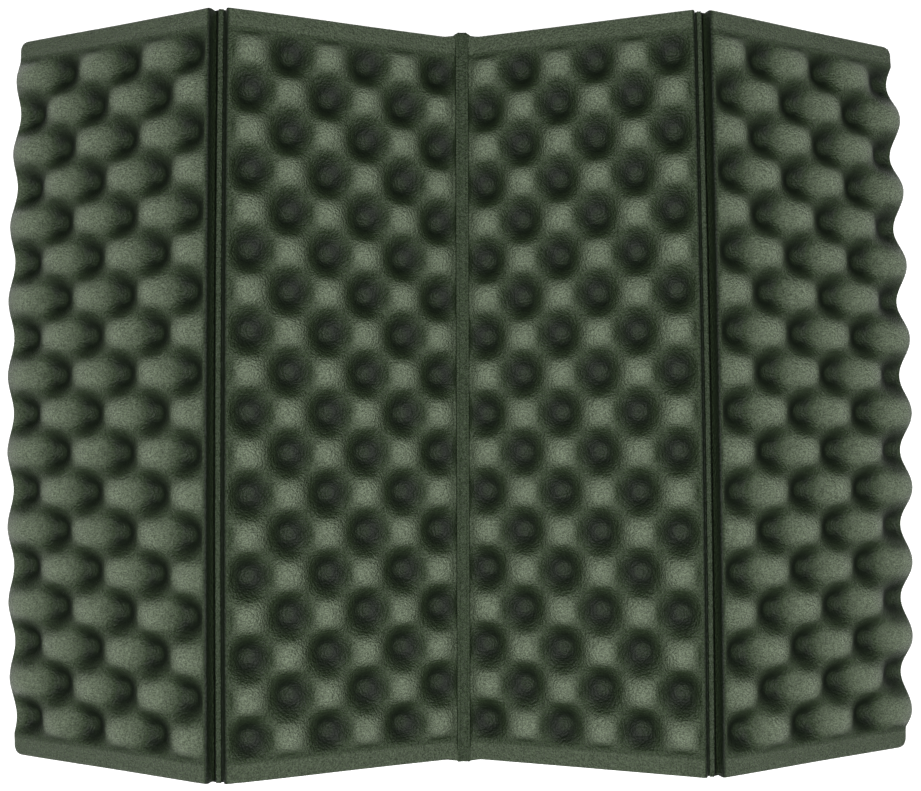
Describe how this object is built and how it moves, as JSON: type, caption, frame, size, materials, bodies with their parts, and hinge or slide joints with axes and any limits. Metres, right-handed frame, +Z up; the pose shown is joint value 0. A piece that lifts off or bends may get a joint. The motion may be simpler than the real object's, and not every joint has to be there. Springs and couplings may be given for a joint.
{
  "type": "folding foam sleeping pad",
  "caption": "Egg-crate closed-cell foam pad that folds in zigzag panels on pressed living hinges, standing part-folded on its outer edges.",
  "frame": {"origin": "on the ground under the middle of the pad's bounding box, in the part-folded standing pose", "axes": "+X across the panels, +Y along the hinges, +Z up"},
  "size_m": [0.3682, 0.2974, 0.042],
  "materials": {
    "panel_foam": "closed-cell polyethylene foam with a pebbled moulded skin, satin",
    "hinge_foam": "the same foam pressed thin and dense, slightly smoother"
  },
  "bodies": {
    "inner_left": {"inner_left_panel": "panel_foam", "left_hinge_web": "hinge_foam", "centre_hinge_web": "hinge_foam"},
    "outer_left": {"outer_left_panel": "panel_foam"},
    "inner_right": {"inner_right_panel": "panel_foam", "right_hinge_web": "hinge_foam"},
    "outer_right": {"outer_right_panel": "panel_foam"}
  },
  "joints": [
    {"name": "left_fold", "type": "hinge", "parent": "inner_left", "child": "outer_left", "pos_m": [-0.09448, 0, 0.03367], "axis": [0, -1, 0], "range_deg": [-40.7, 139.2], "stiffness_Nm_per_rad": 0.05, "deforming": ["left_hinge_web"]},
    {"name": "centre_fold", "type": "hinge", "parent": "inner_left", "child": "inner_right", "pos_m": [-0.00084, 0, 0.01415], "axis": [0, -1, 0], "range_deg": [-35, 145], "stiffness_Nm_per_rad": 0.05, "deforming": ["centre_hinge_web"]},
    {"name": "right_fold", "type": "hinge", "parent": "inner_right", "child": "outer_right", "pos_m": [0.09343, 0, 0.03039], "axis": [0, 1, 0], "range_deg": [-36.5, 143.5], "stiffness_Nm_per_rad": 0.05, "deforming": ["right_hinge_web"]}
  ]
}
